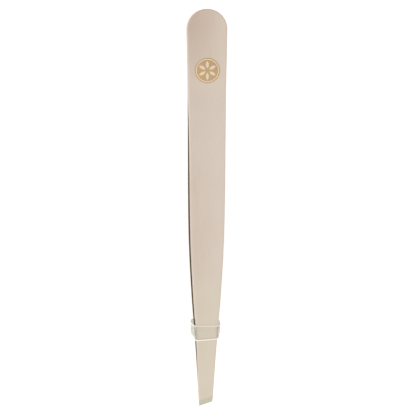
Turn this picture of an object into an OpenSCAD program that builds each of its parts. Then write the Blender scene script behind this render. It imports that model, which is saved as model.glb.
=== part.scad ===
// Slant tweezers: two bowed steel arms welded back to back at the round head,
// with a clear sleeve that holds the slanted tips closed.
//
// X is the width, +Y runs towards the head, and +Z is the outward side of the front arm.
// The tweezers lie on the belly of the rear arm, at Z = 0.
// Places along an arm are distances from the head end, called s below.

/* [Arms] */
// Overall length, from the head end to the longer corner of the tips
length = 95; // [85:0.5:110]
// Width across the round head
head_w = 9.64; // [8:0.02:11]
// Width at the shoulder, a third of the way down
shoulder_w = 8.7; // [7.5:0.05:9.5]
// Width at the belly, where the gap between the arms is widest
belly_w = 7.9; // [6.5:0.05:8.5]
// Width at the waist, where the outline turns in most
waist_w = 6.55; // [5.6:0.05:7]
// Width at the neck, just past the sleeve
neck_w = 4.8; // [4.2:0.05:5.4]
// Width across the tips
tip_w = 3.15; // [2:0.05:4]
// Sheet thickness of each arm
arm_t = 1.25; // [1:0.05:1.5]
// Widest gap between the arms with the tips closed
bow_gap = 3.2; // [2.4:0.1:4.4]
// Fullness of the bow: 2 is an even arch, and higher holds the gap wide nearer its ends
bow_fullness = 3; // [2:0.25:4]
// Length over which the two arms lie flat against each other at the head
weld_len = 20; // [18:0.5:22]

/* [Tips] */
// Length over which the closed tips meet face to face
meet_len = 5; // [3:0.25:6]
// Thickness that the tips are ground down to
tip_t = 0.8; // [0.5:0.05:1]
// Angle of the slanted end, away from square
slant_angle = 18.5; // [10:0.5:28]
// Width of the bevel ground along the slanted end
bevel_w = 1.3; // [0.8:0.1:2]
// Thickness left at the slanted edge
edge_t = 0.3; // [0.15:0.05:0.4]
// Gap left between the closed tips
jaw_gap = 0.06; // [0.04:0.01:0.1]

/* [Flexure and welds] */
// Distance from the head end to the line about which each arm flexes
flex_s = 25; // [23:0.5:30]
// Slit that frees the blade from the head plate at that line
flex_slit = 0.12; // [0.1:0.01:0.2]
// Diameter of each spot weld
weld_d = 2.4; // [1.5:0.1:3]
// Depth that each weld reaches into an arm
weld_depth = 0.3; // [0.2:0.05:0.4]
// Number of spot welds
weld_count = 2; // [1:1:3]
// Distance from the head end to the first weld
weld_first = 6; // [5:0.5:7]
// Distance between welds
weld_pitch = 5; // [4:0.5:6]

/* [Emblem] */
// Diameter of the round emblem on the front arm
emblem_d = 6.1; // [4:0.1:7]
// Distance from the head end to its centre
emblem_s = 14.7; // [10:0.1:16]
// Thickness of its foil
foil_t = 0.08; // [0.05:0.01:0.12]
// Number of petals in its rosette
petal_count = 6; // [4:1:8]
// Width of each petal
petal_w = 0.62; // [0.4:0.02:0.7]

/* [Sleeve] */
// Distance from the head end to the middle of the sleeve
sleeve_s = 76.7; // [76:0.1:77.5]
// Length of the sleeve
sleeve_len = 3.7; // [3:0.1:4.5]
// Wall thickness of the sleeve
sleeve_wall = 0.25; // [0.2:0.01:0.35]
// How far each side of the sleeve bows out between the arms
sleeve_bulge = 0.3; // [0.2:0.01:0.4]
// Clearance between the sleeve and the arms
sleeve_clear = 0.06; // [0.05:0.01:0.1]
// Tilt of the sleeve's rims, with the front lower than the rear
rim_tilt = 14; // [0:1:18]
// Sideways slope of the sleeve's rims
rim_slope = 5; // [0:1:8]

/* [Hidden] */

$fn = 96;
steel = "#d5c8bb";
steel_rear = "#c4b5a4";
weld_steel = "#9d978f";
gold = "#bfa27c";
pale_gold = "#e3cbab";
clear_plastic = [0.87, 0.87, 0.82, 0.45];

head_r = head_w / 2;
mid_z = bow_gap / 2 + arm_t;
meet_s = length - meet_len;
profile_steps = 28;
outline_steps = 6;
room = 1;

// Outline stations: [distance from the head end, width]
shoulder_s = 0.32 * length;
belly_s = 0.59 * length;
waist_s = 0.72 * length;
neck_s = 0.84 * length;
stations = [
    [head_r, head_w], [shoulder_s, shoulder_w], [belly_s, belly_w],
    [waist_s, waist_w], [neck_s, neck_w], [length, tip_w]
];
last = len(stations) - 1;

// Y of a place along the arm
function along(s) = length / 2 - s;

// Rise over run between stations i and i + 1
function secant(i) =
    (stations[i + 1][1] - stations[i][1]) / (stations[i + 1][0] - stations[i][0]);

// Slope of the outline at station i
function slope(i) =
    i == 0 ? secant(0) : i == last ? secant(last - 1) : (secant(i - 1) + secant(i)) / 2;

// Smooth curve through two stations, with t from 0 to 1 between them
function blend_width(i, t) =
    let (run = stations[i + 1][0] - stations[i][0])
    (2 * t^3 - 3 * t^2 + 1) * stations[i][1]
    + (t^3 - 2 * t^2 + t) * run * slope(i)
    + (3 * t^2 - 2 * t^3) * stations[i + 1][1]
    + (t^3 - t^2) * run * slope(i + 1);

// The station that starts the stretch holding s
function stretch(s, i = 0) = i == last - 1 || s < stations[i + 1][0] ? i : stretch(s, i + 1);

// Half the arm's width at s, past the round head
function half_width(s) =
    let (i = stretch(s))
    blend_width(i, (s - stations[i][0]) / (stations[i + 1][0] - stations[i][0])) / 2;

// Where s lies along the bow, from -1 at the head plates to 1 where the tips meet
function bow_place(s) = 2 * (s - weld_len) / (meet_s - weld_len) - 1;

// Height of an arm's inner face over the plane between the arms
function inner_face(s) =
    s <= weld_len ? 0 :
    s >= meet_s ? jaw_gap / 2 :
    max(jaw_gap / 2, bow_gap / 2 * (1 - abs(bow_place(s))^bow_fullness));

// Thickness of an arm, ground thinner from the neck to the tips
function thickness(s) =
    s <= neck_s ? arm_t : arm_t + (tip_t - arm_t) * (s - neck_s) / (length - neck_s);

// Height of an arm's outer face over the plane between the arms
function outer_face(s) = inner_face(s) + thickness(s);

// Places where the arm's side profile has a point
profile_s = concat(
    [0],
    [for (k = [0 : profile_steps]) weld_len + (meet_s - weld_len) * k / profile_steps],
    [length]
);

// Places where the outline has a point, several to each stretch between stations
outline_s = concat(
    [for (i = [0 : last - 1], k = [0 : outline_steps - 1])
        stations[i][0] + (stations[i + 1][0] - stations[i][0]) * k / outline_steps],
    [length]
);

// Outline of an arm seen from the front, with its round head and slanted end
module arm_outline() {
    difference() {
        intersection() {
            polygon(concat(
                [[head_r + room, along(0)]],
                [for (s = outline_s) [half_width(s), along(s)]],
                [for (k = [len(outline_s) - 1 : -1 : 0])
                    [-half_width(outline_s[k]), along(outline_s[k])]],
                [[-head_r - room, along(0)]]
            ));
            round_ended_strip();
        }
        at_slant() translate([-tip_w, -2 * tip_w]) square([4 * tip_w, 2 * tip_w]);
    }
}

// A strip wider than the arm, with the round head on its end
module round_ended_strip() {
    translate([0, along(head_r)]) circle(r = head_r);
    translate([-head_r - room, along(length + room)])
        square([2 * (head_r + room), length + room - head_r]);
}

// Moves to the longer corner of the tips and turns along the slanted end
module at_slant() {
    translate([-tip_w / 2, -length / 2, 0]) rotate(slant_angle) children();
}

// Extrudes a side profile, drawn as [along, height] points, across the width
module across(points, width) {
    rotate([90, 0, 90])
        translate([0, 0, -width / 2])
            linear_extrude(height = width) polygon(points);
}

// A whole arm over the plane between the arms, before the flexure slit and weld seats
module bent_arm() {
    difference() {
        intersection() {
            linear_extrude(height = mid_z + room) arm_outline();
            across(concat(
                [for (s = profile_s) [along(s), inner_face(s)]],
                [for (k = [len(profile_s) - 1 : -1 : 0])
                    [along(profile_s[k]), outer_face(profile_s[k])]]
            ), head_w + room);
        }
        tip_bevel();
    }
}

// The wedge that is ground off the outer face along the slanted end
module tip_bevel() {
    at_slant()
        translate([-tip_w, 0, edge_t + jaw_gap / 2])
            rotate([atan((tip_t - edge_t) / bevel_w), 0, 0])
                translate([0, -room, 0])
                    cube([4 * tip_w, room + 3 * bevel_w, 3 * tip_t]);
}

// A block that holds the arm between two places along it
module stretch_of_arm(from_s, to_s) {
    translate([-head_w / 2 - room, along(to_s), -room])
        cube([head_w + 2 * room, to_s - from_s, mid_z + 3 * room]);
}

// The spot welds, centred on the plane between the arms
module weld_nuggets() {
    for (k = [0 : weld_count - 1])
        translate([0, along(weld_first + k * weld_pitch), 0])
            cylinder(d = weld_d, h = 2 * weld_depth, center = true);
}

module arm_head() {
    difference() {
        intersection() {
            bent_arm();
            stretch_of_arm(-room, flex_s - flex_slit / 2);
        }
        weld_nuggets();
    }
}

module arm_blade() {
    intersection() {
        bent_arm();
        stretch_of_arm(flex_s + flex_slit / 2, length + room);
    }
}

// The front arm lies over the plane between the arms, and the rear arm mirrors it
module in_front() {
    translate([0, 0, mid_z]) children();
}

module behind() {
    translate([0, 0, mid_z]) mirror([0, 0, 1]) children();
}

module front_arm_head() {
    color(steel) in_front() arm_head();
}

module front_arm_blade() {
    color(steel) in_front() arm_blade();
}

module rear_arm_head() {
    color(steel_rear) behind() arm_head();
}

module rear_arm_blade() {
    color(steel_rear) behind() arm_blade();
}

module spot_welds() {
    color(weld_steel) in_front() weld_nuggets();
}

// Moves to the middle of the emblem, on the front arm's outer face
module at_emblem() {
    translate([0, along(emblem_s), mid_z + arm_t]) children();
}

module emblem_disc() {
    color(gold) at_emblem() cylinder(d = emblem_d, h = foil_t);
}

// A petal with two pointed ends, as the overlap of two circles
module petal(petal_l, width) {
    petal_r = (petal_l^2 + width^2) / (4 * width);
    intersection() {
        translate([petal_r - width / 2, 0]) circle(r = petal_r);
        translate([width / 2 - petal_r, 0]) circle(r = petal_r);
    }
}

// A plain rosette inside a thin ring
module emblem_motif() {
    rim_w = 0.22;
    rim_r = emblem_d / 2 - 0.28;
    petal_l = 0.7 * rim_r;
    petal_from = 0.2 * rim_r;
    color(pale_gold) at_emblem() translate([0, 0, foil_t]) linear_extrude(height = foil_t / 2) {
        difference() {
            circle(r = rim_r);
            circle(r = rim_r - rim_w);
        }
        for (k = [0 : petal_count - 1])
            rotate(360 * k / petal_count)
                translate([0, petal_from + petal_l / 2]) petal(petal_l, petal_w);
    }
}

// The solid that fills the sleeve: flat over the arms' outer faces, bowed at the sides
module sleeve_form(wall) {
    half_l = sleeve_len / 2 + 2;
    steps = 4;
    form_s = [for (k = [0 : steps]) sleeve_s + half_l * (2 * k / steps - 1)];
    grow = sleeve_clear + wall;
    corner_z = outer_face(sleeve_s - sleeve_len / 2) + sleeve_clear;
    side_r = (corner_z^2 + sleeve_bulge^2) / (2 * sleeve_bulge);
    taper = atan((half_width(sleeve_s - half_l) - half_width(sleeve_s + half_l)) / (2 * half_l));
    side_x = half_width(sleeve_s) + sleeve_clear + sleeve_bulge;
    intersection() {
        across(concat(
            [for (s = form_s) [along(s), outer_face(s) + grow]],
            [for (k = [steps : -1 : 0]) [along(form_s[k]), -outer_face(form_s[k]) - grow]]
        ), 2 * head_w);
        for_side(1) side_cylinder(side_x, side_r, wall, taper);
        for_side(-1) side_cylinder(side_x, side_r, wall, taper);
    }
}

module for_side(side) {
    mirror([side < 0 ? 1 : 0, 0, 0]) children();
}

// A wide cylinder along the sleeve, whose far side is the sleeve's bowed side
module side_cylinder(side_x, side_r, wall, taper) {
    translate([side_x - side_r, along(sleeve_s), 0])
        rotate([90, 0, -taper])
            cylinder(r = side_r + wall, h = 3 * head_w, center = true);
}

module tip_sleeve() {
    color(clear_plastic) in_front() intersection() {
        difference() {
            sleeve_form(sleeve_wall);
            sleeve_form(0);
        }
        translate([0, along(sleeve_s), 0])
            rotate([rim_tilt, 0, rim_slope])
                cube([2 * head_w, sleeve_len * cos(rim_tilt), 2 * head_w], center = true);
    }
}

front_arm_head();
front_arm_blade();
rear_arm_head();
rear_arm_blade();
spot_welds();
emblem_disc();
emblem_motif();
tip_sleeve();
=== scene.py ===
"""Slant tweezers: satin champagne steel arms, a gold emblem and a clear sleeve over the tips."""
import math

import bmesh
import bpy
from mathutils import Matrix, Vector


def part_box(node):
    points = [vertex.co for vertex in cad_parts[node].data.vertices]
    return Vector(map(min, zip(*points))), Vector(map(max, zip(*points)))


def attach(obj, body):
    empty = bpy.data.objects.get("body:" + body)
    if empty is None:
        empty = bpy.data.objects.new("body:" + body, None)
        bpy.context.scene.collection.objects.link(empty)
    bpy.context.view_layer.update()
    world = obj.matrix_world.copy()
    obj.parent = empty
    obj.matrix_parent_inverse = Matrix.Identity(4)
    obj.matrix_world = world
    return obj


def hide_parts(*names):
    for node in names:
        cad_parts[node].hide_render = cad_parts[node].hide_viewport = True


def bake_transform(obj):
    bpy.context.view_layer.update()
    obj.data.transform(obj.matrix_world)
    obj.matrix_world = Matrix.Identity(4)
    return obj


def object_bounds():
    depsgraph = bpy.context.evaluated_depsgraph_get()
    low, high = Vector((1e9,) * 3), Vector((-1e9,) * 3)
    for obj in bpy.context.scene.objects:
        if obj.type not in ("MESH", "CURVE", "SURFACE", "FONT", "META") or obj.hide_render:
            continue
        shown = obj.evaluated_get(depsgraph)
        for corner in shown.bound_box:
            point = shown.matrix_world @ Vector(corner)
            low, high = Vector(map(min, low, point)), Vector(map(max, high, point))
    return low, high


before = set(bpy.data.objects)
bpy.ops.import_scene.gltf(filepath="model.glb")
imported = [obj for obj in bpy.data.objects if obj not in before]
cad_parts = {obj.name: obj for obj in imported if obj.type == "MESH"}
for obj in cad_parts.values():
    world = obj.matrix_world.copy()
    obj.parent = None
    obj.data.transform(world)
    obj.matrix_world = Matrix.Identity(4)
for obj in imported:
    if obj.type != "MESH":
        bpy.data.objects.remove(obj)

MM = 0.001
cad_low, cad_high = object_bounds()

# ---------------------------------------------------------------- sizes, from the frame, in millimetres

head_low, head_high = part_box("front_arm_head")
blade_low, blade_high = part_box("front_arm_blade")
emblem_low, emblem_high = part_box("emblem_disc")
sleeve_low, sleeve_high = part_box("tip_sleeve")

HEAD_END = head_high.y / MM
LENGTH = HEAD_END - blade_low.y / MM
HEAD_R = (head_high.x - head_low.x) / 2 / MM
MID_Z = cad_high.z / 2 / MM
ARM_T = emblem_low.z / MM - MID_Z
BOW = blade_high.z / MM - MID_Z - ARM_T

# the same outline and profile as the CAD arms; s is the distance from the head end
WELD_LEN = 20.0
BOW_FULLNESS = 3
MEET_S = LENGTH - 5.0
NECK_S = 0.84 * LENGTH
TIP_T = 0.8
TIP_W = 3.15
EDGE_T = 0.3
BEVEL_W = 1.3
JAW_GAP = 0.06
SLANT = math.tan(math.radians(18.5))
STATIONS = [
    (HEAD_R, 2 * HEAD_R), (0.32 * LENGTH, 8.7), (0.59 * LENGTH, 7.9),
    (0.72 * LENGTH, 6.55), (NECK_S, 4.8), (LENGTH, TIP_W),
]

# softness of the edges
EDGE_R = 0.28       # outer edge of the body
TIP_EDGE_R = 0.09   # outer edge beside the tips
SLANT_R = 0.03      # the ground slanted edge
INNER_R = 0.06      # inner edge
BEND_SOFT = 1.6     # half the length over which a bend in the sheet is rounded


def smooth(t):
    """0 to 1 with flat ends."""
    t = min(1.0, max(0.0, t))
    return t * t * (3 - 2 * t)


def mix(a, b, t):
    return a + (b - a) * t


# ---------------------------------------------------------------- the arm's shape

def station_slope(i):
    """Slope of the width at a station, the mean of the slopes on either side."""
    secants = [
        (b[1] - a[1]) / (b[0] - a[0]) for a, b in zip(STATIONS[:-1], STATIONS[1:])
    ]
    if i == 0 or i == len(STATIONS) - 1:
        return secants[min(i, len(secants) - 1)]
    return (secants[i - 1] + secants[i]) / 2


def half_width(s):
    """Half the arm's width, past the round head."""
    i = max(k for k in range(len(STATIONS) - 1) if k == 0 or s >= STATIONS[k][0])
    (s0, w0), (s1, w1) = STATIONS[i], STATIONS[i + 1]
    run = s1 - s0
    t = (s - s0) / run
    w = (2 * t**3 - 3 * t**2 + 1) * w0 + (3 * t**2 - 2 * t**3) * w1
    w += (t**3 - 2 * t**2 + t) * run * station_slope(i)
    w += (t**3 - t**2) * run * station_slope(i + 1)
    return w / 2


def bowed(s):
    """Height of the inner face over the plane between the arms, with crisp bends."""
    if s <= WELD_LEN:
        return 0.0
    if s >= MEET_S:
        return JAW_GAP / 2
    bow_place = 2 * (s - WELD_LEN) / (MEET_S - WELD_LEN) - 1
    return max(JAW_GAP / 2, BOW * (1 - abs(bow_place) ** BOW_FULLNESS))


def inner_face(s):
    """The same with its bends rounded, as bent sheet has them."""
    steps = 5
    around = [bowed(s + BEND_SOFT * k / steps) for k in range(-steps, steps + 1)]
    return sum(around) / len(around)


def thickness(s):
    return mix(ARM_T, TIP_T, max(0.0, (s - NECK_S) / (LENGTH - NECK_S)))


def slant_distance(x, s):
    """Distance back from the slanted edge, square to it."""
    return (LENGTH - SLANT * (x + TIP_W / 2) - s) / math.hypot(1, SLANT)


def outer_face(x, s):
    """Height of the outer face, with the bevel ground along the slanted edge."""
    ground = JAW_GAP / 2 + EDGE_T + (TIP_T - EDGE_T) / BEVEL_W * slant_distance(x, s)
    return min(inner_face(s) + thickness(s), ground)


def arm_rows():
    """Pairs of outline points, left and right, from the head's top to the slanted edge."""
    rows = []
    arc_steps = 30
    for k in range(1, arc_steps + 1):
        a = math.pi / 2 * k / arc_steps
        x, s = HEAD_R * math.sin(a), HEAD_R * (1 - math.cos(a))
        rows.append(((-x, s), (x, s)))
    body_steps, tip_steps, bevel_steps = 96, 22, 5
    skew_from, skew_done = NECK_S, LENGTH - 2.4 * BEVEL_W
    bevel_s = LENGTH - 1.06 * BEVEL_W * math.hypot(1, SLANT)
    left = [mix(HEAD_R, skew_from, k / body_steps) for k in range(1, body_steps + 1)]
    left += [mix(skew_from, bevel_s, k / tip_steps) for k in range(1, tip_steps + 1)]
    left += [mix(bevel_s, LENGTH, k / bevel_steps) for k in range(1, bevel_steps + 1)]
    for s in left:
        skew = SLANT * smooth((s - skew_from) / (skew_done - skew_from))
        s_right = s
        for _ in range(6):
            s_right = s - skew * (half_width(s) + half_width(s_right))
        rows.append(((-half_width(s), s), (half_width(s_right), s_right)))
    return rows


def perimeter(rows, across):
    """The outline as one loop: head's top, down the right, along the slant, up the left."""
    (lx, ls), (rx, rs) = rows[-1]
    slant = [
        (mix(rx, lx, k / (across + 1)), mix(rs, ls, k / (across + 1)))
        for k in range(1, across + 1)
    ]
    loop = [(0.0, 0.0)] + [r for _, r in rows] + slant + [l for l, _ in reversed(rows)]
    count = len(rows)
    corners = (count, count + across + 1)
    return loop, corners


def inward(loop, corners):
    """Inward direction at each point of the loop, longer at the two sharp corners."""
    found = []
    n = len(loop)
    for i, (x, s) in enumerate(loop):
        (ax, as_), (bx, bs) = loop[i - 1], loop[(i + 1) % n]
        before = Vector((x - ax, s - as_)).normalized()
        after = Vector((bx - x, bs - s)).normalized()
        side_a, side_b = Vector((-before.y, before.x)), Vector((-after.y, after.x))
        both = (side_a + side_b).normalized()
        found.append(both / (both.dot(side_a) if i in corners else 1.0))
    return found


def edge_radius(i, loop, corners):
    """Radius of the outer edge at a point of the loop."""
    if corners[0] <= i <= corners[1]:
        return SLANT_R
    return mix(EDGE_R, TIP_EDGE_R, smooth((loop[i][1] - NECK_S + 6) / (LENGTH - NECK_S + 2)))


def arm_geometry():
    """Points (x, s, height over the mid plane, rim, inside) and faces of the front arm."""
    across, round_steps = 9, 6
    rows = arm_rows()
    loop, corners = perimeter(rows, across)
    normals = inward(loop, corners)
    n = len(loop)
    points, faces, rings = [], [], []

    def add(x, s, z, rim, inside):
        points.append((x, s, z, rim, inside))
        return len(points) - 1

    def ring(radius_of, turn, outer):
        """One ring of the rounded edge, turn running from the side (0) to the face (1)."""
        ids = []
        a = turn * math.pi / 2
        for i, (x, s) in enumerate(loop):
            r = radius_of(i)
            x1, s1 = Vector((x, s)) + normals[i] * r * (1 - math.cos(a))
            lift = r * (1 - math.sin(a))
            z = outer_face(x1, s1) - lift if outer else inner_face(s1) + lift
            ids.append(add(x1, s1, z, 1 - turn if outer else 0.0, 0.0 if outer else turn))
        return ids

    def outer_r(i):
        return edge_radius(i, loop, corners)

    def inner_r(i):
        return min(INNER_R, edge_radius(i, loop, corners))

    for k in range(round_steps, -1, -2):
        rings.append(ring(inner_r, k / round_steps, False))
    for k in range(round_steps + 1):
        rings.append(ring(outer_r, k / round_steps, True))
    for low, high in zip(rings[:-1], rings[1:]):
        for i in range(n):
            j = (i + 1) % n
            faces.append((low[i], low[j], high[j], high[i]))

    def cap(edge, height, inside):
        """Fills a face with a grid, row by row, from the ring around it."""
        last = []
        for k in range(1, len(rows) + 1):
            left, right = edge[n - k], edge[k]
            if k == len(rows):
                between = [edge[k + across + 1 - c] for c in range(1, across + 1)]
            else:
                (lx, ls), (rx, rs) = points[left][:2], points[right][:2]
                between = []
                for c in range(1, across + 1):
                    t = c / (across + 1)
                    x, s = mix(lx, rx, t), mix(ls, rs, t)
                    between.append(add(x, s, height(x, s), 0.0, inside))
            row = [left] + between + [right]
            if last:
                faces.extend((last[c], last[c + 1], row[c + 1], row[c]) for c in range(across + 1))
            else:
                faces.extend((edge[0], row[c + 1], row[c]) for c in range(across + 1))
            last = row

    cap(rings[-1], outer_face, 0.0)
    cap(rings[0], lambda x, s: inner_face(s), 1.0)
    return points, faces


# ---------------------------------------------------------------- mesh helpers

def make_piece(name, verts, faces, material, sharp_deg=22):
    """A closed, smooth-shaded mesh in the row frame, with its sharper edges kept crisp."""
    mesh = bpy.data.meshes.new(name)
    mesh.from_pydata([tuple(v) for v in verts], [], faces)
    bm = bmesh.new()
    bm.from_mesh(mesh)
    bmesh.ops.recalc_face_normals(bm, faces=bm.faces)
    for f in bm.faces:
        f.smooth = True
    for e in bm.edges:
        e.smooth = len(e.link_faces) < 2 or e.calc_face_angle(0) < math.radians(sharp_deg)
    bm.to_mesh(mesh)
    bm.free()
    piece = bpy.data.objects.new(name, mesh)
    bpy.context.scene.collection.objects.link(piece)
    mesh.materials.append(material)
    return piece


def store(piece, name, values):
    """Keeps one number per vertex for the material."""
    layer = piece.data.attributes.new(name, "FLOAT", "POINT")
    layer.data.foreach_set("value", values)


def store_rest(piece):
    """Keeps each vertex's place at rest, in millimetres, so grain doesn't slide in a pose."""
    layer = piece.data.attributes.new("rest_mm", "FLOAT_VECTOR", "POINT")
    layer.data.foreach_set("vector", [c / MM for v in piece.data.vertices for c in v.co])


def place(x, s, z):
    """A point of the front arm in the row frame, in metres."""
    return (x * MM, (HEAD_END - s) * MM, (MID_Z + z) * MM)


# ---------------------------------------------------------------- materials

class Shader:
    """A Principled material with a few short ways to add nodes."""

    def __init__(self, name, **values):
        self.material = bpy.data.materials.new(name)
        self.material.use_nodes = True
        self.nodes = self.material.node_tree.nodes
        self.links = self.material.node_tree.links
        self.bsdf = self.nodes["Principled BSDF"]
        for key, value in values.items():
            self.bsdf.inputs[key.replace("_", " ")].default_value = value

    def add(self, kind, **settings):
        node = self.nodes.new(kind)
        for key, value in settings.items():
            if hasattr(node, key):
                setattr(node, key, value)
            else:
                node.inputs[key.replace("_", " ")].default_value = value
        return node

    def link(self, out, into):
        self.links.new(out, into)

    def rest(self, scale):
        """Rest position in millimetres, stretched by scale."""
        place_node = self.add("ShaderNodeAttribute", attribute_name="rest_mm")
        mapping = self.add("ShaderNodeMapping", Scale=scale)
        self.link(place_node.outputs["Vector"], mapping.inputs["Vector"])
        return mapping.outputs["Vector"]

    def noise(self, scale, detail=3.0, rough=0.5):
        node = self.add("ShaderNodeTexNoise", Scale=1.0, Detail=detail, Roughness=rough)
        self.link(self.rest(scale), node.inputs["Vector"])
        return node.outputs["Fac"]

    def ramp(self, fac, low, high, to_low=0.0, to_high=1.0):
        node = self.add("ShaderNodeMapRange")
        limits = {"From Min": low, "From Max": high, "To Min": to_low, "To Max": to_high}
        for key, value in limits.items():
            node.inputs[key].default_value = value
        self.link(fac, node.inputs["Value"])
        return node.outputs["Result"]

    def blend(self, fac, a, b):
        """Mixes two colours, or the outputs that carry them."""
        node = self.add("ShaderNodeMix", data_type="RGBA")
        self.link(fac, node.inputs[0])
        for socket, value in ((node.inputs[6], a), (node.inputs[7], b)):
            if isinstance(value, tuple):
                socket.default_value = (*value, 1.0)
            else:
                self.link(value, socket)
        return node.outputs[2]

    def bump(self, height, strength, distance, under=None):
        node = self.add("ShaderNodeBump", Strength=strength, Distance=distance)
        self.link(height, node.inputs["Height"])
        if under is not None:
            self.link(under, node.inputs["Normal"])
        return node.outputs["Normal"]


def satin_steel():
    """Champagne coated steel: fine satin grain, faint lengthwise brushing, inner faces painted near
    black as the shade between the arms.
    """
    m = Shader("satin_champagne", Metallic=1.0, Anisotropic=0.25)
    cloud = m.noise((0.10, 0.06, 0.10), 2.0)
    mottle = m.noise((0.9, 0.5, 0.9), 3.0)
    brush = m.noise((14.0, 0.22, 14.0), 2.0)
    grain = m.noise((22.0, 16.0, 22.0), 2.0)
    base = m.blend(m.ramp(cloud, 0.35, 0.65), (0.672, 0.564, 0.474), (0.708, 0.620, 0.528))
    base = m.blend(m.ramp(mottle, 0.3, 0.7, 0.0, 0.35), base, (0.718, 0.592, 0.512))
    base = m.blend(m.ramp(brush, 0.35, 0.65, 0.0, 0.22), base, (0.56, 0.48, 0.41))
    rest = m.add("ShaderNodeAttribute", attribute_name="rest_mm")
    split = m.add("ShaderNodeSeparateXYZ")
    m.link(rest.outputs["Vector"], split.inputs[0])
    # painted light and shade: the coating is painted paler towards the right, and pinker and darker at
    # the left of the head
    base = m.blend(m.ramp(split.outputs["X"], -3.0, 4.5, 0.0, 0.5), base, (0.780, 0.680, 0.585))
    painted_shade_head_left = m.add("ShaderNodeMath", operation="MULTIPLY")
    m.link(m.ramp(split.outputs["Y"], 30.0, 43.0), painted_shade_head_left.inputs[0])
    m.link(m.ramp(split.outputs["X"], -4.0, 3.5, 1.0, 0.2), painted_shade_head_left.inputs[1])
    base = m.blend(painted_shade_head_left.outputs["Value"], base, (0.590, 0.468, 0.382))
    # painted light: paler and greener over the belly and the tips
    base = m.blend(m.ramp(split.outputs["Y"], -12.0, -20.0, 0.0, 0.55), base, (0.710, 0.636, 0.512))
    # bare steel shows where the slanted end is ground
    bevel = m.add("ShaderNodeVectorMath", operation="DOT_PRODUCT")
    bevel.inputs[1].default_value = (-SLANT, 1, 0)
    m.link(rest.outputs["Vector"], bevel.inputs[0])
    bevel_end = HEAD_END - LENGTH + SLANT * TIP_W / 2 + BEVEL_W * math.hypot(1, SLANT)
    ground = m.ramp(bevel.outputs["Value"], bevel_end + 0.04, bevel_end - 0.04, 0.0, 0.85)
    base = m.blend(ground, base, (0.600, 0.570, 0.462))
    # painted shade: the rounded outer edges are painted darker, varied by the mottle
    rim = m.add("ShaderNodeAttribute", attribute_name="rim")
    painted_edge_shade = m.add("ShaderNodeMath", operation="MULTIPLY")
    m.link(m.ramp(rim.outputs["Fac"], 0.25, 0.95), painted_edge_shade.inputs[0])
    m.link(m.ramp(mottle, 0.3, 0.7, 0.75, 1.0), painted_edge_shade.inputs[1])
    base = m.blend(painted_edge_shade.outputs["Value"], base, (0.455, 0.396, 0.358))
    # painted shade: the inner faces are painted near black for the shade in the gap between the arms
    inside = m.add("ShaderNodeAttribute", attribute_name="inside")
    painted_gap_shade = m.blend(mottle, (0.095, 0.072, 0.032), (0.15, 0.118, 0.058))
    base = m.blend(inside.outputs["Fac"], base, painted_gap_shade)
    m.link(base, m.bsdf.inputs["Base Color"])
    m.link(m.ramp(brush, 0.3, 0.7, 0.30, 0.42), m.bsdf.inputs["Roughness"])
    fine = m.bump(grain, 0.25, 0.00002)
    m.link(m.bump(brush, 0.18, 0.00002, fine), m.bsdf.inputs["Normal"])
    return m.material


def gold_foil():
    """Gold print with warm and yellow patches, as foil shows under a soft light."""
    m = Shader("gold_foil", Metallic=0.85)
    patch = m.noise((0.45, 0.35, 0.45), 1.0)
    speck = m.noise((9.0, 9.0, 9.0), 3.0)
    base = m.blend(m.ramp(patch, 0.40, 0.60), (0.570, 0.395, 0.270), (0.560, 0.400, 0.190))
    base = m.blend(m.ramp(speck, 0.35, 0.7, 0.0, 0.3), base, (0.50, 0.34, 0.20))
    m.link(base, m.bsdf.inputs["Base Color"])
    m.link(m.ramp(speck, 0.3, 0.7, 0.28, 0.42), m.bsdf.inputs["Roughness"])
    m.link(m.bump(speck, 0.2, 0.00001), m.bsdf.inputs["Normal"])
    return m.material


def pale_foil():
    """The paler metal of the emblem's rosette and ring."""
    m = Shader("pale_foil", Metallic=0.9)
    speck = m.noise((7.0, 7.0, 7.0), 3.0)
    base = m.blend(m.ramp(speck, 0.3, 0.7), (0.80, 0.62, 0.44), (0.86, 0.70, 0.52))
    m.link(base, m.bsdf.inputs["Base Color"])
    m.link(m.ramp(speck, 0.3, 0.7, 0.22, 0.34), m.bsdf.inputs["Roughness"])
    m.link(m.bump(speck, 0.15, 0.00001), m.bsdf.inputs["Normal"])
    return m.material


def clear_plastic():
    """Thin clear plastic, faintly hazy and drawn along its length, with a painted grazing reflection at
    its sides and a painted highlight at its cut rims.
    """
    m = Shader("clear_plastic", IOR=1.45)
    streak = m.noise((5.0, 0.4, 5.0), 2.0)
    cloud = m.noise((0.8, 0.8, 0.8), 2.0)
    rim = m.add("ShaderNodeAttribute", attribute_name="rim")
    base = m.blend(m.ramp(streak, 0.3, 0.7), (0.78, 0.74, 0.65), (0.85, 0.81, 0.72))
    # painted reflection: walls facing sideways are painted denser and greyer for the reflection a clear
    # wall shows at a grazing angle; the faces keep a faint real haze
    haze_and_sheen = m.add("ShaderNodeAttribute", attribute_name="haze_and_sheen")
    base = m.blend(haze_and_sheen.outputs["Fac"], base, (0.55, 0.55, 0.46))
    # painted highlight: the cut rims are painted pale and made opaque
    base = m.blend(rim.outputs["Fac"], base, (1.0, 0.93, 0.83))
    m.link(base, m.bsdf.inputs["Base Color"])
    m.link(m.ramp(streak, 0.3, 0.7, 0.16, 0.3), m.bsdf.inputs["Roughness"])
    cloudy = m.add("ShaderNodeMath", operation="MULTIPLY")
    m.link(haze_and_sheen.outputs["Fac"], cloudy.inputs[0])
    m.link(m.ramp(cloud, 0.3, 0.7, 0.9, 1.2), cloudy.inputs[1])
    dense = m.add("ShaderNodeMath", operation="MAXIMUM")
    m.link(cloudy.outputs["Value"], dense.inputs[0])
    m.link(rim.outputs["Fac"], dense.inputs[1])
    m.link(dense.outputs["Value"], m.bsdf.inputs["Alpha"])
    m.link(m.bump(streak, 0.15, 0.00003), m.bsdf.inputs["Normal"])
    return m.material


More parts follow.
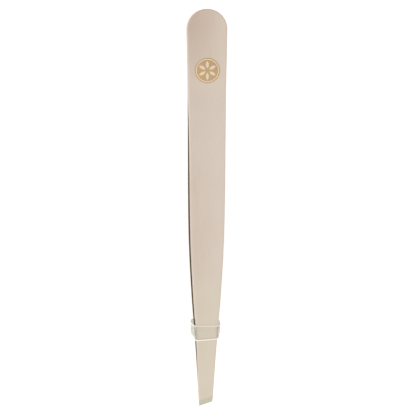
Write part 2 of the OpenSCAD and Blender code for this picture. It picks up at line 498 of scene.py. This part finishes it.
def weld_steel():
    """Fused bare steel of the spot welds, hidden between the head plates."""
    m = Shader("weld_steel", Metallic=1.0)
    where = m.add("ShaderNodeTexCoord")
    ripples = m.add("ShaderNodeTexNoise", Scale=3.0 / MM, Detail=3.0)
    m.link(where.outputs["Object"], ripples.inputs["Vector"])
    ripple = ripples.outputs["Fac"]
    base = m.blend(m.ramp(ripple, 0.3, 0.7), (0.32, 0.30, 0.28), (0.50, 0.48, 0.46))
    m.link(base, m.bsdf.inputs["Base Color"])
    m.link(m.ramp(ripple, 0.3, 0.7, 0.35, 0.6), m.bsdf.inputs["Roughness"])
    m.link(m.bump(ripple, 0.3, 0.00005), m.bsdf.inputs["Normal"])
    return m.material


def white_sweep():
    """The pale floor, lit softly from below like a light table."""
    m = Shader("white_sweep", Roughness=0.9, Emission_Strength=0.46)
    m.bsdf.inputs["Emission Color"].default_value = (1, 1, 1, 1)
    cloud = m.add("ShaderNodeTexNoise", Scale=6.0, Detail=2.0)
    m.link(m.blend(m.ramp(cloud.outputs["Fac"], 0.3, 0.7), (0.93, 0.93, 0.93), (0.94, 0.94, 0.94)),
           m.bsdf.inputs["Base Color"])
    return m.material


# ---------------------------------------------------------------- the arms

def make_arm(name, side, material):
    """side is 1 for the front arm and -1 for the rear arm, which mirrors it."""
    points, faces = arm_geometry()
    verts = [place(x, s, side * z) for x, s, z, _, _ in points]
    arm = make_piece(name, verts, faces, material)
    store(arm, "rim", [p[3] for p in points])
    store(arm, "inside", [p[4] for p in points])
    store_rest(arm)
    return arm


STEEL = satin_steel()
front_arm = make_arm("front_arm", 1, STEEL)
rear_arm = make_arm("rear_arm", -1, STEEL)
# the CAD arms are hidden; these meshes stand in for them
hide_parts("front_arm_head", "front_arm_blade")
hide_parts("rear_arm_head", "rear_arm_blade")
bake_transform(front_arm)
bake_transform(rear_arm)

# ---------------------------------------------------------------- the emblem

EMBLEM = (emblem_low + emblem_high) / 2
EMBLEM_R = (emblem_high.x - emblem_low.x) / 2
FOIL_T = 0.03 * MM
RING_OUTER, RING_INNER = 0.91 * EMBLEM_R, 0.84 * EMBLEM_R
PETALS = 6
PETAL_NEAR, PETAL_FAR, PETAL_W = 0.16 * EMBLEM_R, 0.76 * EMBLEM_R, 0.24 * EMBLEM_R
PETAL_FULLNESS = 0.9


def raised_outline(loop, base, height, soften):
    """Points and faces of a thin raised shape with a softened upper edge."""
    n = len(loop)
    centre = sum((Vector(p) for p in loop), Vector((0, 0))) / n
    verts = []
    for share, z in ((1.0, 0.0), (1.0, 0.5), (1 - soften, 1.0)):
        verts += [
            (*(centre + (Vector(p) - centre) * share), base + height * z) for p in loop
        ]
    faces = [
        (k * n + i, k * n + (i + 1) % n, (k + 1) * n + (i + 1) % n, (k + 1) * n + i)
        for k in range(2) for i in range(n)
    ]
    faces.append(tuple(2 * n + i for i in range(n)))
    faces.append(tuple(reversed(range(n))))
    return verts, faces


def circle(radius, count=128):
    """Points of a circle round the origin."""
    return [
        (radius * math.cos(2 * math.pi * k / count), radius * math.sin(2 * math.pi * k / count))
        for k in range(count)
    ]


def petal_loop(turn, near, far, width):
    """A pointed petal between two radii, as two arcs."""
    steps = 14
    right = []
    for k in range(steps + 1):
        t = k / steps
        half = width / 2 * math.sin(math.pi * t) ** PETAL_FULLNESS if 0 < t < 1 else 0.0
        right.append((half, mix(near, far, t)))
    loop = right + [(-x, y) for x, y in reversed(right[1:-1])]
    c, s = math.cos(turn), math.sin(turn)
    return [(x * c - y * s, x * s + y * c) for x, y in loop]


def join(parts):
    """Several shapes as one set of points and faces."""
    verts, faces = [], []
    for v, f in parts:
        start = len(verts)
        verts += v
        faces += [tuple(start + i for i in face) for face in f]
    return verts, faces


def at_emblem(verts):
    """Moves points from around the origin to the emblem's place on the front arm."""
    return [(EMBLEM.x + x, EMBLEM.y + y, emblem_low.z + z) for x, y, z in verts]


def ring_band(outer, inner, base, height, count=128):
    """A flat ring with square edges."""
    verts = []
    for radius, z in ((outer, 0), (outer, 1), (inner, 1), (inner, 0)):
        verts += [(x, y, base + height * z) for x, y in circle(radius, count)]
    faces = []
    for k in range(4):
        j = (k + 1) % 4
        faces += [
            (k * count + i, k * count + (i + 1) % count, j * count + (i + 1) % count, j * count + i)
            for i in range(count)
        ]
    return verts, faces


disc_verts, disc_faces = raised_outline(circle(EMBLEM_R), 0.0, FOIL_T, 0.015)
emblem = make_piece("emblem_foil", at_emblem(disc_verts), disc_faces, gold_foil())
store_rest(emblem)
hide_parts("emblem_disc")
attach(emblem, "head")

motif_parts = [ring_band(RING_OUTER, RING_INNER, FOIL_T, FOIL_T)]
for k in range(PETALS):
    outline = petal_loop(2 * math.pi * k / PETALS, PETAL_NEAR, PETAL_FAR, PETAL_W)
    motif_parts.append(raised_outline(outline, FOIL_T, FOIL_T, 0.04))
motif_verts, motif_faces = join(motif_parts)
motif = make_piece("emblem_rosette", at_emblem(motif_verts), motif_faces, pale_foil())
store_rest(motif)
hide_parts("emblem_motif")
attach(motif, "head")

# ---------------------------------------------------------------- the clear sleeve

SLEEVE_S = HEAD_END - (sleeve_low.y + sleeve_high.y) / 2 / MM
SLEEVE_LEN = 3.7
SLEEVE_WALL = 0.22
SLEEVE_CLEAR = 0.07
TOP_BULGE, MID_BULGE, LOW_BULGE = 0.42, 0.52, 0.12
LEFT_MORE = 1.5
RIM_HIGHLIGHT = 0.45    # length of the painted highlight at each rim
UPPER_HIGHLIGHT = 0.8   # how strong the upper rim's painted highlight is, where the lower one is 1
# the faint haze of the faces, and the painted grazing reflection of the sides
FACE_HAZE, SIDE_SHEEN = 0.07, 0.55
WIDEST_AT = 0.6     # where the sleeve bulges most, from its upper rim (0) to its lower (1)
RIM_TILT, RIM_SLOPE = math.tan(math.radians(14)), math.tan(math.radians(5))


def sleeve_section(s, v):
    """The inner loop around both arms at s: flat over the faces, bowed at the sides."""
    w, h = half_width(s) + SLEEVE_CLEAR, inner_face(s) + thickness(s) + SLEEVE_CLEAR
    if v < WIDEST_AT:
        bulge = mix(TOP_BULGE, MID_BULGE, v / WIDEST_AT)
    else:
        bulge = mix(MID_BULGE, LOW_BULGE, smooth((v - WIDEST_AT) / (1 - WIDEST_AT)))
    flat, side = 10, 12

    def half(bow):
        """Points from the middle of the front face round one side to the rear's middle."""
        front = [(w * k / flat, h) for k in range(flat + 1)]
        for k in range(1, side + 1):
            t = 1 - k / side
            front.append((w + bow * (1 - t * t), h * t))
        return front + [(x, -z) for x, z in reversed(front[:-1])]

    right, left = half(bulge), half(bulge * LEFT_MORE)
    loop = right + [(-x, z) for x, z in reversed(left[1:-1])]
    for _ in range(3):
        loop = [
            tuple((loop[i - 1][c] + 2 * p[c] + loop[(i + 1) % len(loop)][c]) / 4 for c in range(2))
            for i, p in enumerate(loop)
        ]
    return loop


def sleeve_point(v, i, out):
    """Point i of the loop, at v from the upper rim (0) to the lower rim (1), moved out.

    Its last value says how far it faces sideways, from 0 to 1."""
    s = SLEEVE_S + (v - 0.5) * SLEEVE_LEN
    for _ in range(3):
        loop = sleeve_section(s, v)
        (ax, az), (x, z), (bx, bz) = loop[i - 1], loop[i], loop[(i + 1) % len(loop)]
        s = SLEEVE_S + (v - 0.5) * SLEEVE_LEN + RIM_TILT * z - v * RIM_SLOPE * x
    away = Vector((-(bz - az), bx - ax)).normalized()
    return x + away.x * out, s, z + away.y * out, abs(away.x)


def sleeve_geometry():
    """Inner and outer walls joined by rounded rims."""
    count = len(sleeve_section(SLEEVE_S, 0.5))
    steps, rim_steps = 24, 6
    lip = SLEEVE_WALL / 2
    profile = []
    for k in range(steps + 1):
        profile.append((mix(lip, SLEEVE_LEN - lip, k / steps), SLEEVE_WALL))
    for k in range(1, rim_steps):
        a = math.pi * k / rim_steps
        profile.append((SLEEVE_LEN - lip + lip * math.sin(a), lip + lip * math.cos(a)))
    for k in range(steps + 1):
        profile.append((mix(SLEEVE_LEN - lip, lip, k / steps), 0.0))
    for k in range(1, rim_steps):
        a = math.pi * k / rim_steps
        profile.append((lip - lip * math.sin(a), lip - lip * math.cos(a)))
    verts, rim_highlight, haze_and_sheen_values = [], [], []
    for along, out in profile:
        # painted highlight along both rims, fainter at the upper one
        lower = smooth(3 * ((along - SLEEVE_LEN) / RIM_HIGHLIGHT + 1))
        upper = UPPER_HIGHLIGHT * smooth(3 * (1 - along / RIM_HIGHLIGHT))
        for i in range(count):
            x, s, z, sideways = sleeve_point(along / SLEEVE_LEN, i, out)
            verts.append(place(x, s, z))
            outside = out / SLEEVE_WALL
            rim_highlight.append(max(lower, upper) * outside)
            haze_and_sheen_values.append((FACE_HAZE + SIDE_SHEEN * smooth(1.5 * sideways)) * outside)
    rows = len(profile)
    faces = []
    for k in range(rows):
        j = (k + 1) % rows
        faces += [
            (k * count + i, k * count + (i + 1) % count, j * count + (i + 1) % count, j * count + i)
            for i in range(count)
        ]
    return verts, faces, rim_highlight, haze_and_sheen_values


sleeve_verts, sleeve_faces, sleeve_rim_highlight, sleeve_haze_and_sheen = sleeve_geometry()
sleeve = make_piece("clear_sleeve", sleeve_verts, sleeve_faces, clear_plastic(), sharp_deg=60)
store(sleeve, "rim", sleeve_rim_highlight)
store(sleeve, "haze_and_sheen", sleeve_haze_and_sheen)
store_rest(sleeve)
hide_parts("tip_sleeve")
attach(sleeve, "sleeve")

# ---------------------------------------------------------------- the welds keep their CAD shape

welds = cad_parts["spot_welds"]
welds.data.materials.clear()
welds.data.materials.append(weld_steel())

# ---------------------------------------------------------------- floor, light and camera

bpy.ops.mesh.primitive_plane_add(size=6)
floor = bpy.context.object
floor.name = "floor"
floor.data.materials.append(white_sweep())


ROOM_LEAN = (-0.12, -0.12, 0.20)   # how much brighter the room is in each direction
ROOM_LEVEL = 0.785


def studio_world():
    """A white room around the floor, a little darker beyond the head end and to the right."""
    world = bpy.data.worlds.new("studio")
    bpy.context.scene.world = world
    world.use_nodes = True
    nodes, links = world.node_tree.nodes, world.node_tree.links
    background = nodes["Background"]
    background.inputs["Color"].default_value = (1.0, 0.998, 0.994, 1.0)
    where = nodes.new("ShaderNodeTexCoord")
    lean = nodes.new("ShaderNodeVectorMath")
    lean.operation = "DOT_PRODUCT"
    lean.inputs[1].default_value = ROOM_LEAN
    links.new(where.outputs["Generated"], lean.inputs[0])
    strength = nodes.new("ShaderNodeMath")
    strength.operation = "ADD"
    strength.inputs[1].default_value = ROOM_LEVEL
    links.new(lean.outputs["Value"], strength.inputs[0])
    links.new(strength.outputs["Value"], background.inputs["Strength"])


def soft_box(name, place_at, size, energy):
    """A large soft light facing the tweezers."""
    light = bpy.data.lights.new(name, "AREA")
    light.shape, light.size, light.energy = "SQUARE", size, energy
    lamp = bpy.data.objects.new(name, light)
    lamp.location = place_at
    lamp.rotation_euler = (-Vector(place_at)).to_track_quat("-Z", "Y").to_euler()
    bpy.context.scene.collection.objects.link(lamp)


studio_world()
soft_box("left_box", (-0.8, -0.1, 0.7), 0.6, 0.4)

# nearly straight down, from slightly to the left and slightly to the head side
VIEW_LEFT, VIEW_HEAD, VIEW_FROM = math.radians(7), math.radians(3), 1.0
AIM = Vector((-0.05 * MM, 0.21 * MM, cad_high.z))
FRAMED = 98.85 * MM
ROLL = math.radians(0.21)

back = Vector((-math.tan(VIEW_LEFT), math.tan(VIEW_HEAD), 1)).normalized()
right = Vector((0, 1, 0)).cross(back).normalized()
upright = back.cross(right)
tilted = Matrix((right, upright, back)).transposed() @ Matrix.Rotation(ROLL, 3, "Z")
camera_data = bpy.data.cameras.new("camera")
camera_data.lens = camera_data.sensor_width * VIEW_FROM / FRAMED
camera_data.clip_start = 0.05
camera = bpy.data.objects.new("camera", camera_data)
camera.matrix_world = Matrix.Translation(AIM + back * VIEW_FROM) @ tilted.to_4x4()
bpy.context.scene.collection.objects.link(camera)
bpy.context.scene.camera = camera
bpy.context.scene.view_settings.view_transform = "Standard"
